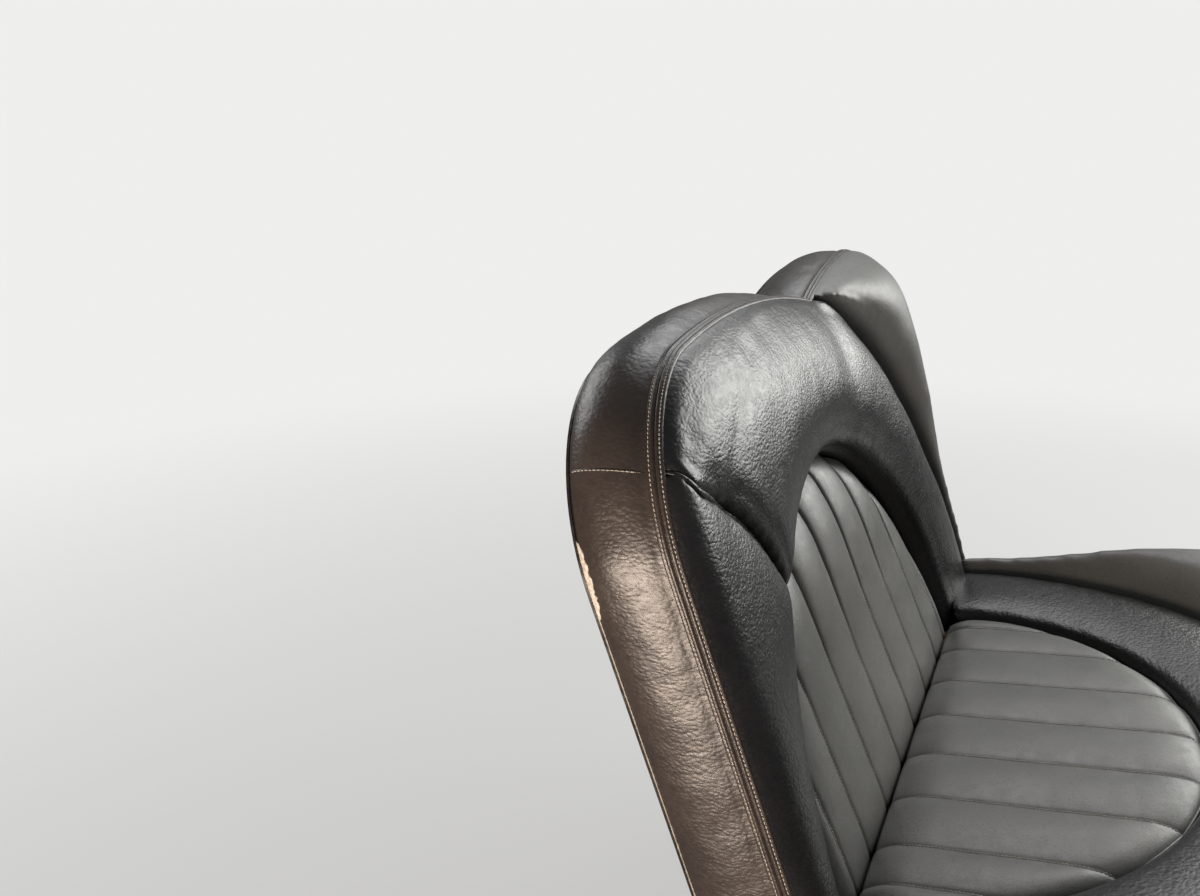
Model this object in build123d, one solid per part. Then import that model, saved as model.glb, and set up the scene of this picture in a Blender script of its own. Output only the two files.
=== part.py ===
from build123d import *
from math import atan, cos, radians, sin, tan
import os

os.makedirs("parts", exist_ok=True)

# Millimetres and degrees. The bench faces -Y, its aisle end is at -X and its wall end at +X.
# The crease is the level line along X where the cushion meets the backrest.

# Whole bench
bench_width = 1020.0
crease_height = 335.0
back_recline = 20.0
cushion_pitch = 7.0

# Backrest outline: distances from the aisle end, heights up the slope from the crease
hump_from_aisle = 283.0
hump_height = 578.0
hump_radius = 1400.0
wall_hump_from_wall = 112.0
wall_hump_height = 557.0
wall_hump_radius = 1300.0
back_aisle_corner = 185.0
back_wall_corner = 110.0
dip_radius = 30.0

# Backrest layers, square to its slope
back_padding_depth = 40.0
back_band_depth = 75.0
back_board_thickness = 15.0
back_cover_thickness = 3.0
back_edge_roll = 36.0

# Cushion outline, forward of the crease
cushion_depth = 480.0
cushion_aisle_corner = 185.0
cushion_wall_corner = 60.0

# Cushion layers, square to its pitch
cushion_padding_depth = 28.0
cushion_band_depth = 77.0
cushion_board_thickness = 12.0
cushion_edge_roll = 26.0

# Leather panels: half-ovals about one centre line, measured from the bench's ends and from the crease
insert_from_aisle = 93.0
insert_from_wall = 203.0
back_insert_height = 358.0
back_arch_from_wall = 28.0
back_arch_height = 571.0
cushion_insert_depth = 338.0
cushion_border_from_wall = 40.0
cushion_border_depth = 508.0

# Seams and rolls of the panels
flute_pitch = 98.0
flute_seams = 6
outer_flute_width = 72.0
flute_rise = 9.0
back_insert_lean = 4.5
leg_seam_radius = 332.0
leg_seam_from_aisle = -87.0
leg_seam_height = 150.0
back_valley_roll = 30.0
cushion_valley_roll = 18.0
back_insert_dive = 22.0
back_dive_length = 160.0
cushion_insert_dive = 14.0
cushion_dive_length = 100.0
insert_sink = 2.0
border_seam_roll = 14.0
back_corner_rise = 25.0
cushion_corner_rise = 18.0

# Shared details
band_thickness = 12.0
seam_clearance = 0.4
crease_clearance = 0.5
crease_lap = 20.0
trim_thickness = 3.0
trim_width = 9.0
trim_overhang = 1.5

# How far a cut runs past the face that it leaves, and how near to a level an edge lies to count as on it
cut_past = 1.0
level_margin = 0.01

# Riser
deck_thickness = 18.0
panel_thickness = 15.0
riser_front_setback = 60.0
riser_aisle_setback = 32.0
riser_wall_setback = 10.0
riser_corner_radius = 140.0
cleat_side = 30.0
rib_over_angles = 6.0

# Steel fastenings
angle_leg = 35.0
angle_thickness = 3.0
angle_end_gap = 1.5
floor_bolt_from_end = 45.0
floor_bolt_hole = 9.0
strap_width = 40.0
strap_thickness = 5.0
strap_spacing = 560.0
strap_on_riser = 150.0
strap_on_back = 330.0

# Worked out from the sizes above
aisle_end = -bench_width / 2
wall_end = bench_width / 2
panel_centre = (aisle_end + insert_from_aisle + wall_end - insert_from_wall) / 2
insert_half_width = (bench_width - insert_from_aisle - insert_from_wall) / 2
back_arch_half_width = wall_end - back_arch_from_wall - panel_centre
cushion_border_half_width = wall_end - cushion_border_from_wall - panel_centre
hump_x = aisle_end + hump_from_aisle
wall_hump_x = wall_end - wall_hump_from_wall
back_seam = -back_padding_depth
back_rear = back_seam - back_band_depth
board_front = back_rear + back_board_thickness
cushion_seam = -cushion_padding_depth
cushion_bottom = cushion_seam - cushion_band_depth
deck_top = cushion_bottom - cushion_board_thickness
deck_bottom = deck_top - deck_thickness
reach = 2 * bench_width
below_crease = crease_height

recline = radians(back_recline)
pitch = radians(cushion_pitch)
back_plane = Plane((0, 0, crease_height), (1, 0, 0), (0, -cos(recline), sin(recline)))
cushion_plane = Plane((0, 0, crease_height), (1, 0, 0), (0, sin(pitch), cos(pitch)))


def deck_height(y, level):
    """Height above the floor of a plane at that level under the cushion, at a distance behind the crease."""
    return crease_height + (level - y * sin(pitch)) / cos(pitch)


def prism(face, low, high):
    """A solid of that outline between two levels."""
    return Pos(0, 0, low) * extrude(face, amount=high - low, dir=(0, 0, 1))


def block(x_low, x_high, y_low, y_high, z_low, z_high):
    """A square block between its limits."""
    corner = (Align.MIN, Align.MIN, Align.MIN)
    return Pos(x_low, y_low, z_low) * Box(x_high - x_low, y_high - y_low, z_high - z_low, align=corner)


def half_oval(half_width, height, growth=0.0):
    """Half an ellipse standing on the crease, with straight sides that run on past it."""
    oval = Ellipse(half_width + growth, height + growth)
    sides = Pos(0, -below_crease / 2) * Rectangle(2 * (half_width + growth), below_crease)
    return Pos(panel_centre, 0) * (oval + sides)


def rounded(face, radii):
    """The face with its corners above the crease rounded, each given by its place from the aisle end."""
    for place, radius in radii:
        corners = face.vertices().filter_by(lambda vertex: vertex.Y > cut_past).sort_by(Axis.X)
        face = fillet(corners[place], radius)
    return face


def bench_strip(inset, height):
    """A strip as wide as the bench, from far below the crease to a height above it."""
    middle = (height - below_crease) / 2
    return Pos(0, middle) * Rectangle(bench_width - 2 * inset, height + below_crease)


def back_outline(inset=0.0):
    """The backrest from the front: two shallow humps with a dip between them, and rounded ends."""
    humps = Pos(hump_x, hump_height - hump_radius) * Circle(hump_radius - inset)
    humps += Pos(wall_hump_x, wall_hump_height - wall_hump_radius) * Circle(wall_hump_radius - inset)
    face = humps & bench_strip(inset, 2 * hump_height)
    return rounded(
        face, [(-1, back_wall_corner - inset), (1, dip_radius + inset), (0, back_aisle_corner - inset)]
    )


def cushion_outline(inset=0.0):
    """The cushion from above with its front towards +Y, carried past the crease to be cut there."""
    face = bench_strip(inset, cushion_depth - inset)
    return rounded(face, [(1, cushion_wall_corner - inset), (0, cushion_aisle_corner - inset)])


def top_edges(solid, level=0.0):
    """Edges of the solid's face at that level, without the ones along its cut end."""
    edges = solid.edges().filter_by_position(Axis.Z, level - level_margin, level + level_margin)
    return edges.filter_by(lambda edge: edge.center().Y > cut_past - below_crease)


def hole_edges(solid, hole, level=0.0):
    """Edges at that level of a hole that was cut through the solid."""
    bounds = hole.bounding_box()
    found = []
    for edge in top_edges(solid, level):
        box = edge.bounding_box()
        inside_width = box.min.X > bounds.min.X - cut_past and box.max.X < bounds.max.X + cut_past
        if inside_width and box.max.Y < bounds.max.Y + cut_past:
            found.append(edge)
    return found


def fluted_bar(low, height, dive, dive_length):
    """A bar of upright rolls, seam to seam, whose top dives towards the valley around the insert."""
    last = (flute_seams - 1) / 2 * flute_pitch
    marks = [-insert_half_width, -last - outer_flute_width]
    marks += [index * flute_pitch - last for index in range(flute_seams)]
    marks += [last + outer_flute_width, insert_half_width]
    crest = -insert_sink
    seam = crest - flute_rise
    edges = []
    for left, right in zip(marks, marks[1:]):
        edges.append(ThreePointArc((left, 0, seam), ((left + right) / 2, 0, crest), (right, 0, seam)))
    edges.append(Polyline((marks[-1], 0, seam), (marks[-1], 0, low), (marks[0], 0, low), (marks[0], 0, seam)))
    bar = extrude(make_face(edges), amount=below_crease + reach, dir=(0, 1, 0))
    bar = Pos(panel_centre, -below_crease, 0) * bar

    start = height - dive_length
    radius = (dive_length**2 + dive**2) / (2 * dive)
    half_turn = atan(dive / dive_length)
    middle = (0, start + radius * sin(half_turn), radius * cos(half_turn) - radius)
    arc = ThreePointArc((0, start, 0), middle, (0, height, -dive))
    corner = Polyline((0, height, -dive), (0, reach, -dive), (0, reach, dive), (0, start, dive), (0, start, 0))
    cutter = extrude(make_face([arc, corner]), amount=2 * bench_width, dir=(1, 0, 0))
    return bar - Pos(-bench_width, 0, 0) * cutter


def slab(low, high):
    """A wide slab between two levels."""
    return block(-reach, reach, -reach, reach, low, high)


def wall_side():
    """A block on the wall side of the middle between the two humps."""
    return block((hump_x + wall_hump_x) / 2, reach, -reach, reach, -reach, reach)


def border_zone(oval):
    """Where a border may be: its own half-oval with a rolled edge, the aisle side, and past the crease."""
    zone = prism(half_oval(*oval, -seam_clearance), -reach, 0)
    zone = fillet(top_edges(zone), border_seam_roll)
    zone += block(-reach, (hump_x + wall_hump_x) / 2, -reach, reach, -reach, reach)
    return zone + block(-reach, reach, -reach, -crease_lap, -reach, reach)


def corner_zone(oval, rise):
    """Where a corner panel may be: the wall side outside the border's half-oval, rolled into the seam."""
    hole = prism(half_oval(*oval), -reach, reach)
    zone = block(-reach, reach, -below_crease, reach, -reach, rise) - hole
    zone = fillet(hole_edges(zone, hole, rise), rise + border_seam_roll)
    zone &= wall_side()
    return zone & block(-reach, reach, seam_clearance - crease_lap, reach, -reach, reach)


def rolled_pad(outline, core, depth, rise, edge_roll):
    """Padding over its core, with its face raised above level 0 and its edge rolled down to the band."""
    pad = prism(outline, -depth, rise)
    return fillet(top_edges(pad, rise), edge_roll + rise) + core


def border_and_corner(outline, core, oval, insert, depth, edge_roll, valley_roll, corner_rise):
    """The border around an insert, and the plain panel between the border's half-oval and the wall end."""
    hole = prism(half_oval(*insert, seam_clearance), -reach, cut_past)
    border = rolled_pad(outline, core, depth, 0, edge_roll) - hole
    border = fillet(hole_edges(border, hole), valley_roll)
    border &= border_zone(oval)
    corner = rolled_pad(outline, core, depth, corner_rise, edge_roll)
    return border, corner & corner_zone(oval, corner_rise)


# Each half-oval's half width and height
back_insert_oval = (insert_half_width, back_insert_height)
back_arch_oval = (back_arch_half_width, back_arch_height)
cushion_insert_oval = (insert_half_width, cushion_insert_depth)
cushion_border_oval = (cushion_border_half_width, cushion_border_depth)


# Backrest, front layers
def leg_zone(growth):
    """The aisle-side foot of the arch, under the round seam that crosses it."""
    disc = Pos(aisle_end + leg_seam_from_aisle, leg_seam_height) * Circle(leg_seam_radius + growth)
    foot = block(-reach, panel_centre, -reach, leg_seam_height, -reach, cut_past)
    return prism(disc, -reach, cut_past) + foot


def back_front_panels():
    """The fluted insert, the arch around it in two pieces, and the plain corner panel."""
    core = prism(back_outline(band_thickness + seam_clearance), board_front, back_seam)
    arch, corner = border_and_corner(
        back_outline(), core, back_arch_oval, back_insert_oval,
        back_padding_depth, back_edge_roll, back_valley_roll, back_corner_rise,
    )
    leg = arch & leg_zone(0)
    crown = arch - leg_zone(seam_clearance)

    bar = fluted_bar(-reach, back_insert_height, back_insert_dive, back_dive_length)
    bar = Rot(-back_insert_lean, 0, 0) * bar
    insert = bar & prism(half_oval(*back_insert_oval), board_front, 0)
    return {
        "back_insert": insert,
        "back_arch_crown": crown,
        "back_arch_leg": leg,
        "back_corner_panel": corner,
    }


# Backrest, sides and rear
def back_sides_and_rear():
    """The boxing band around the padding, the board, the rear cover and the strip that hides its edge."""
    inner = band_thickness + seam_clearance
    band = prism(back_outline() - back_outline(band_thickness), back_rear, back_seam)
    board = prism(back_outline(inner), back_rear, board_front - seam_clearance)
    cover_rear = back_rear - back_cover_thickness
    cover = prism(back_outline(trim_width + seam_clearance), cover_rear, back_rear)
    ring = back_outline(-trim_overhang) - back_outline(trim_width)
    trim = prism(ring, back_rear - trim_thickness, back_rear)
    return {
        "back_band": band,
        "back_board": board,
        "back_rear_cover": cover,
        "back_edge_trim": trim,
    }


# Cushion
def cushion_pieces():
    """The fluted insert, its border, the plain corner panel, the band around them and the board below."""
    inner = band_thickness + seam_clearance
    core = prism(cushion_outline(inner), cushion_bottom, cushion_seam)
    border, corner = border_and_corner(
        cushion_outline(), core, cushion_border_oval, cushion_insert_oval,
        cushion_padding_depth, cushion_edge_roll, cushion_valley_roll, cushion_corner_rise,
    )
    bar = fluted_bar(-reach, cushion_insert_depth, cushion_insert_dive, cushion_dive_length)
    pieces = {
        "cushion_insert": bar & prism(half_oval(*cushion_insert_oval), cushion_bottom, cut_past),
        "cushion_border": border,
        "cushion_corner_panel": corner,
        "cushion_band": prism(
            cushion_outline() - cushion_outline(band_thickness), cushion_bottom, cushion_seam
        ),
        "cushion_board": prism(cushion_outline(inner), deck_top, cushion_bottom),
    }
    return {name: mirror(piece, about=Plane.XZ) for name, piece in pieces.items()}


# Riser
def rear_edge_of_deck():
    """How far behind the crease the rear of the backrest meets the deck."""
    depth = back_cover_thickness - back_rear
    foot = (deck_top + depth * sin(recline - pitch)) / cos(recline - pitch)
    return depth * cos(recline) + foot * sin(recline)


def riser_pieces():
    """A plywood box with one rounded corner, its top edges cut to the slope of the deck."""
    front = -(cushion_depth * cos(pitch) - riser_front_setback)
    rear = rear_edge_of_deck()
    aisle = aisle_end + riser_aisle_setback
    wall = wall_end - riser_wall_setback
    bend = riser_corner_radius
    wood = panel_thickness
    tall = crease_height + cushion_depth
    under_deck = cushion_plane.location * slab(-reach, deck_bottom)
    deck_slab = cushion_plane.location * slab(deck_bottom, deck_top)

    footprint = Pos((aisle + wall) / 2, (front + rear) / 2) * Rectangle(wall - aisle, rear - front)
    corner = footprint.vertices().filter_by(lambda vertex: vertex.Y < 0).sort_by(Axis.X)[0]
    footprint = fillet(corner, bend)
    deck = prism(footprint, 0, tall) & deck_slab

    bend_centre = Pos(aisle + bend, front + bend)
    quarter = bend_centre * (Circle(bend) - Circle(bend - wood))
    quarter &= bend_centre * (Pos(-bend / 2, -bend / 2) * Rectangle(bend, bend))
    angle_top = angle_leg + rib_over_angles
    cleats = block(aisle + wood, aisle + wood + cleat_side, rear - wood - cleat_side, rear - wood, 0, tall)
    cleats += block(wall - wood - cleat_side, wall - wood, rear - wood - cleat_side, rear - wood, 0, tall)
    cleats += block(wall - wood - cleat_side, wall - wood, front + wood, front + wood + cleat_side, 0, tall)
    pieces = {
        "riser_front_panel": block(aisle + bend, wall, front, front + wood, 0, tall),
        "riser_corner_panel": prism(quarter, 0, tall),
        "riser_aisle_panel": block(aisle, aisle + wood, front + bend, rear, 0, tall),
        "riser_wall_panel": block(wall - wood, wall, front + wood, rear - wood, 0, tall),
        "riser_rear_panel": block(aisle + wood, wall, rear - wood, rear, 0, tall),
        "riser_rib": block(-wood / 2, wood / 2, front + wood, rear - wood, angle_top, tall),
        "riser_cleats": cleats,
    }
    pieces = {name: piece & under_deck for name, piece in pieces.items()}
    pieces["seat_deck"] = deck
    return pieces


# Steel fastenings
def angle_ends():
    """Where the floor angles start and end, between the riser's rounded corner and its wall-end cleats."""
    start = aisle_end + riser_aisle_setback + riser_corner_radius + angle_end_gap
    end = wall_end - riser_wall_setback - panel_thickness - cleat_side - angle_end_gap
    return start, end


def floor_angle(corner_y, facing):
    """A steel angle along the inside of the riser, bolted down through its flat leg."""
    left, right = angle_ends()
    low = min(corner_y, corner_y + facing * angle_leg)
    side = min(corner_y, corner_y + facing * angle_thickness)
    angle = block(left, right, low, low + angle_leg, 0, angle_thickness)
    angle += block(left, right, side, side + angle_thickness, 0, angle_leg)
    hole_y = corner_y + facing * (angle_leg + angle_thickness) / 2
    for x in (left + floor_bolt_from_end, right - floor_bolt_from_end):
        angle -= Pos(x, hole_y, 0) * Cylinder(floor_bolt_hole / 2, angle_leg)
    return angle


def back_strap(x):
    """A flat steel strap, upright on the riser's rear panel and bent to the slope of the backrest."""
    foot = rear_edge_of_deck()
    bend = deck_height(foot, deck_top)
    inner_lean = strap_thickness * tan(recline / 2)
    along = Vector(0, sin(recline), cos(recline))
    across = Vector(0, cos(recline), -sin(recline))
    start = Vector(x - strap_width / 2, foot, bend)
    down = Vector(0, 0, -strap_on_riser)
    out = Vector(0, strap_thickness, 0)
    mitre = start + out - Vector(0, 0, inner_lean)
    points = [
        start,
        start + along * strap_on_back,
        start + along * strap_on_back + across * strap_thickness,
        mitre,
        start + out + down,
        start + down,
    ]
    return extrude(make_face(Polyline(*points, close=True)), amount=strap_width, dir=(1, 0, 0))


def steel_pieces():
    """Two angles that fix the riser to the floor and two straps that carry the backrest."""
    front = -(cushion_depth * cos(pitch) - riser_front_setback) + panel_thickness
    rear = rear_edge_of_deck() - panel_thickness
    return {
        "floor_angle_front": floor_angle(front, 1),
        "floor_angle_rear": floor_angle(rear, -1),
        "back_strap_aisle": back_strap(-strap_spacing / 2),
        "back_strap_wall": back_strap(strap_spacing / 2),
    }


def build():
    """Every piece in its place, with the origin under the middle of the bench."""
    above_deck = cushion_plane.location * slab(deck_top, reach)
    ahead_of_back = back_plane.location * slab(crease_clearance, reach)
    pieces = {}
    for name, piece in {**back_front_panels(), **back_sides_and_rear()}.items():
        pieces[name] = (back_plane.location * piece) & above_deck
    for name, piece in cushion_pieces().items():
        pieces[name] = (cushion_plane.location * piece) & ahead_of_back
    pieces["cushion_corner_panel"] -= Pos(0, -crease_clearance, 0) * pieces["back_corner_panel"]
    pieces.update(riser_pieces())
    pieces.update(steel_pieces())
    boxes = [piece.bounding_box() for piece in pieces.values()]
    middle = (min(box.min.Y for box in boxes) + max(box.max.Y for box in boxes)) / 2
    return {name: Pos(0, -middle, 0) * piece for name, piece in pieces.items()}, -middle


if __name__ == "__main__":
    placed, crease_y = build()
    for name, piece in placed.items():
        export_step(piece, f"parts/{name}.step")
    print("crease at y", round(crease_y, 3))
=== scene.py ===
"""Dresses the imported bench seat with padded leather, seams, stitching, carpet and steel, and lights it."""
import math

import bmesh
import bpy
import numpy as np
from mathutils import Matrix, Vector, noise
from mathutils.bvhtree import BVHTree


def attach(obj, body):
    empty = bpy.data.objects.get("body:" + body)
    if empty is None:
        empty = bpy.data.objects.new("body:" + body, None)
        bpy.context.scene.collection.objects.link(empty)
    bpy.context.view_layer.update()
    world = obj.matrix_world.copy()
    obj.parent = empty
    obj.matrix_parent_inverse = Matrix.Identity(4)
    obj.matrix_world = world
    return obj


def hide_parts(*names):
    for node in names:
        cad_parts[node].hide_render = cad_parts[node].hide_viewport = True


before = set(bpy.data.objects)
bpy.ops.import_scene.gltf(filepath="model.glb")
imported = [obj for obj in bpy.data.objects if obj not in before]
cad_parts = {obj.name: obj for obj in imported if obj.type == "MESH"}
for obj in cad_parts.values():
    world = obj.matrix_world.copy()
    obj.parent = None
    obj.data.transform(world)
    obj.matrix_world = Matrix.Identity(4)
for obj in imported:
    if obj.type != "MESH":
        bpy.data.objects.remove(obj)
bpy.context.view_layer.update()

# Metres and degrees. The bench faces -Y, its aisle end is at -X and its wall end at +X.

# Whole bench
BENCH_WIDTH = 1.020
CREASE_Y = 0.090067
CREASE_Z = 0.335
RECLINE = math.radians(20)
PITCH = math.radians(7)

# Backrest outline, up the slope from the crease
HUMP_X = -0.227
HUMP_HEIGHT = 0.578
HUMP_RADIUS = 1.400
WALL_HUMP_X = 0.398
WALL_HUMP_HEIGHT = 0.557
WALL_HUMP_RADIUS = 1.300
BACK_AISLE_CORNER = 0.185
BACK_WALL_CORNER = 0.110
DIP_RADIUS = 0.030
BACK_REAR = -0.115
BACK_ROLL = 0.036
BACK_SEAM_ANGLE = math.radians(15)

# Cushion outline, forward of the crease
CUSHION_DEPTH = 0.480
CUSHION_AISLE_CORNER = 0.185
CUSHION_WALL_CORNER = 0.060
CUSHION_BOTTOM = -0.105
CUSHION_ROLL = 0.026
CUSHION_SEAM_ANGLE = math.radians(10)
DECK_TOP = -0.117

# Panels
PANEL_CENTRE = -0.055
INSERT_HALF_WIDTH = 0.362
BACK_INSERT_HEIGHT = 0.358
BACK_ARCH_HALF_WIDTH = 0.537
BACK_ARCH_HEIGHT = 0.571
CUSHION_INSERT_DEPTH = 0.338
CUSHION_BORDER_HALF_WIDTH = 0.525
CUSHION_BORDER_DEPTH = 0.508
FLUTE_PITCH = 0.098
OUTER_FLUTE_WIDTH = 0.072
FLUTE_SEAMS = 6
INSERT_LEAN = math.tan(math.radians(4.5))
INSERT_SINK = 0.002
LEG_SEAM = (-0.597, 0.150, 0.332)

# Camera
CAMERA_PLACE = (-1.480, -0.0789, 1.148)
CAMERA_HEADING = math.radians(22.5)
CAMERA_PITCH = math.radians(18)
CAMERA_LENS = 37.47
CAMERA_SENSOR = 36.0

# The two sloping planes, by their rows: across, along the slope and above it
BACK_AXES = np.array([
    (1, 0, 0),
    (0, math.sin(RECLINE), math.cos(RECLINE)),
    (0, -math.cos(RECLINE), math.sin(RECLINE)),
])
SEAT_AXES = np.array([
    (1, 0, 0),
    (0, -math.cos(PITCH), math.sin(PITCH)),
    (0, math.sin(PITCH), math.cos(PITCH)),
])
CREASE = np.array((0, CREASE_Y, CREASE_Z))
ALONG, LEVEL = 1, 2

# The rolled edges: radius, angle of the front seam round the roll, and plane
BACK_EDGE = (BACK_ROLL, BACK_SEAM_ANGLE, BACK_AXES)
SEAT_EDGE = (CUSHION_ROLL, CUSHION_SEAM_ANGLE, SEAT_AXES)
BACK_LOW = -0.20
SEAT_LOW = -0.02


# Moving between the bench and its two sloping planes
def place(points, axes):
    """Points given as across, along the slope and above it, in the row's frame."""
    return np.asarray(points) @ axes + CREASE


def measure(points, axes):
    """The reverse of place."""
    return (np.asarray(points) - CREASE) @ axes.T


# Outlines: evenly spaced points with their outward directions
def chain(parts, step):
    """One outline of straight runs (start, end) and arcs (centre, radius, start angle, end angle)."""
    points, normals = [], []
    for part in parts:
        if len(part) == 2:
            start, end = (np.array(value, float) for value in part)
            run = end - start
            count = max(2, round(np.hypot(*run) / step))
            share = np.arange(count)[:, None] / count
            points.append(start + share * run)
            out = np.array((-run[1], run[0])) / np.hypot(*run)
            normals.append(np.tile(out, (count, 1)))
        else:
            centre, radius, start, end = part
            count = max(2, round(abs(end - start) * radius / step))
            angle = start + np.arange(count) / count * (end - start)
            ray = np.column_stack((np.cos(angle), np.sin(angle)))
            points.append(np.array(centre) + radius * ray)
            normals.append(ray if end < start else -ray)
    points, normals = np.vstack(points), np.vstack(normals)
    return points, normals


def back_outline(low, step=0.004):
    """The backrest's edge from the aisle side up, over both humps and down the wall side."""
    half = BENCH_WIDTH / 2
    hump = (HUMP_X, HUMP_HEIGHT - HUMP_RADIUS)
    wall_hump = (WALL_HUMP_X, WALL_HUMP_HEIGHT - WALL_HUMP_RADIUS)

    def inside(centre, reach, x):
        return x, centre[1] + math.sqrt(reach**2 - (x - centre[0]) ** 2)

    corner = inside(hump, HUMP_RADIUS - BACK_AISLE_CORNER, -half + BACK_AISLE_CORNER)
    wall_corner = inside(wall_hump, WALL_HUMP_RADIUS - BACK_WALL_CORNER, half - BACK_WALL_CORNER)
    near, far = HUMP_RADIUS + DIP_RADIUS, WALL_HUMP_RADIUS + DIP_RADIUS
    span = math.dist(hump, wall_hump)
    along = (near**2 - far**2 + span**2) / (2 * span)
    off = math.sqrt(near**2 - along**2)
    ux, uy = (wall_hump[0] - hump[0]) / span, (wall_hump[1] - hump[1]) / span
    dip = (hump[0] + along * ux - off * uy, hump[1] + along * uy + off * ux)

    def toward(start, end):
        return math.atan2(end[1] - start[1], end[0] - start[0])

    return chain([
        ((-half, low), (-half, corner[1])),
        (corner, BACK_AISLE_CORNER, math.pi, toward(hump, corner)),
        (hump, HUMP_RADIUS, toward(hump, corner), toward(hump, dip)),
        (dip, DIP_RADIUS, toward(dip, hump), toward(dip, wall_hump)),
        (wall_hump, WALL_HUMP_RADIUS, toward(wall_hump, dip), toward(wall_hump, wall_corner)),
        (wall_corner, BACK_WALL_CORNER, toward(wall_hump, wall_corner), 0.0),
        ((half, wall_corner[1]), (half, low)),
    ], step)


def cushion_outline(low, step=0.004):
    """The cushion's edge from the aisle side forward, along the front and back along the wall side."""
    half = BENCH_WIDTH / 2
    aisle, wall = CUSHION_AISLE_CORNER, CUSHION_WALL_CORNER
    return chain([
        ((-half, low), (-half, CUSHION_DEPTH - aisle)),
        ((-half + aisle, CUSHION_DEPTH - aisle), aisle, math.pi, math.pi / 2),
        ((-half + aisle, CUSHION_DEPTH), (half - wall, CUSHION_DEPTH)),
        ((half - wall, CUSHION_DEPTH - wall), wall, math.pi / 2, 0.0),
        ((half, CUSHION_DEPTH - wall), (half, low)),
    ], step)


def run_length(points):
    """Length along a line of points, from its start."""
    steps = np.linalg.norm(np.diff(points, axis=0), axis=1)
    return np.concatenate(([0.0], np.cumsum(steps)))


def nearest(flat, points, batch=4000):
    """The index of the outline point nearest to each flat point."""
    parts = [flat[start:start + batch] for start in range(0, len(flat), batch)]
    return np.concatenate([((part[:, None] - points) ** 2).sum(2).argmin(1) for part in parts])


def edge_distance(flat, outline):
    """How far inside an outline each flat point lies, and the outline's nearest outward direction."""
    points, normals = outline
    near = nearest(flat, points)
    return -((flat - points[near]) * normals[near]).sum(1), normals[near]


def along_edge(flat, outline):
    """How far along an outline and how far inside it each flat point lies."""
    points, normals = outline
    near = nearest(flat, points)
    gap = flat - points[near]
    ahead = gap[:, 0] * normals[near, 1] - gap[:, 1] * normals[near, 0]
    return run_length(points)[near] + ahead, -(gap * normals[near]).sum(1)


def from_edge(length, inset, outline):
    """The flat points so far along an outline and so far inside it, and the outward directions there."""
    points, normals = outline
    marks = run_length(points)
    out = unit(read_off(length, marks, normals))
    return read_off(length, marks, points) - inset[:, None] * out, out


def oval_distance(flat, half_width, height):
    """About how far outside a half-oval with straight sides below the crease each flat point lies."""
    x = flat[:, 0] - PANEL_CENTRE
    y = np.maximum(flat[:, 1], 0.0)
    level = np.sqrt((x / half_width) ** 2 + (y / height) ** 2) + 1e-9
    slope = np.hypot(x / half_width**2, y / height**2) / level + 1e-9
    return (level - 1) / slope


# Noise and rows of values
def ripple(points, scale, seed=0.0, detail=1):
    """Smooth noise from -1 to 1 at each point or flat point, with that many waves to the metre."""
    if points.shape[1] == 2:
        points = at_level(points, 0.0)
    value = np.zeros(len(points))
    for layer in range(detail):
        rows = points * (scale * 2**layer) + (seed + 17.0 * layer)
        value += 0.5**layer * np.array([noise.noise(Vector(row)) for row in rows])
    return value


def bump_shape(value):
    """0 below 0, 1 above 1 and smooth between."""
    value = np.clip(value, 0, 1)
    return value * value * (3 - 2 * value)


def unit(rows):
    """Vectors made one long."""
    return rows / (np.linalg.norm(rows, axis=1)[:, None] + 1e-12)


def at_level(flat, level):
    """Flat points with a level, one for all of them or one each."""
    return np.column_stack((flat, np.full(len(flat), level)))


def read_off(marks, length, rows):
    """Rows of values along a line, read at marks along its length."""
    return np.column_stack([np.interp(marks, length, column) for column in rows.T])


def moved(local, axis, amount):
    """Local moves of each vertex along one axis of its plane."""
    move = np.zeros_like(local)
    move[:, axis] = amount
    return move


# Meshes
def new_object(name, data):
    piece = bpy.data.objects.new(name, data)
    bpy.context.scene.collection.objects.link(piece)
    return piece


def shade(piece, smooth=True):
    piece.data.polygons.foreach_set("use_smooth", [smooth] * len(piece.data.polygons))


def rework(mesh, *changes, turn=True):
    """Makes changes to a mesh's editable shape and, if turn is set, turns its faces outward."""
    shape = bmesh.new()
    shape.from_mesh(mesh)
    for change in changes:
        change(shape)
    if turn:
        bmesh.ops.recalc_face_normals(shape, faces=shape.faces)
    shape.to_mesh(mesh)
    shape.free()


def mesh_object(name, verts, faces):
    """A smooth object with the faces of a closed surface."""
    mesh = bpy.data.meshes.new(name)
    mesh.from_pydata([tuple(row) for row in verts], [], [tuple(row) for row in faces])
    mesh.validate()
    rework(mesh)
    piece = new_object(name, mesh)
    shade(piece)
    return piece


def coordinates(piece):
    rows = np.empty(len(piece.data.vertices) * 3)
    piece.data.vertices.foreach_get("co", rows)
    return rows.reshape(-1, 3)


def set_coordinates(piece, rows):
    piece.data.vertices.foreach_set("co", np.asarray(rows, dtype=np.float64).ravel())
    piece.data.update()


def settle(piece):
    """Replaces a piece's mesh by what its modifiers make of it."""
    graph = bpy.context.evaluated_depsgraph_get()
    mesh = bpy.data.meshes.new_from_object(piece.evaluated_get(graph))
    piece.modifiers.clear()
    old = piece.data
    piece.data = mesh
    bpy.data.meshes.remove(old)
    shade(piece)


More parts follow.
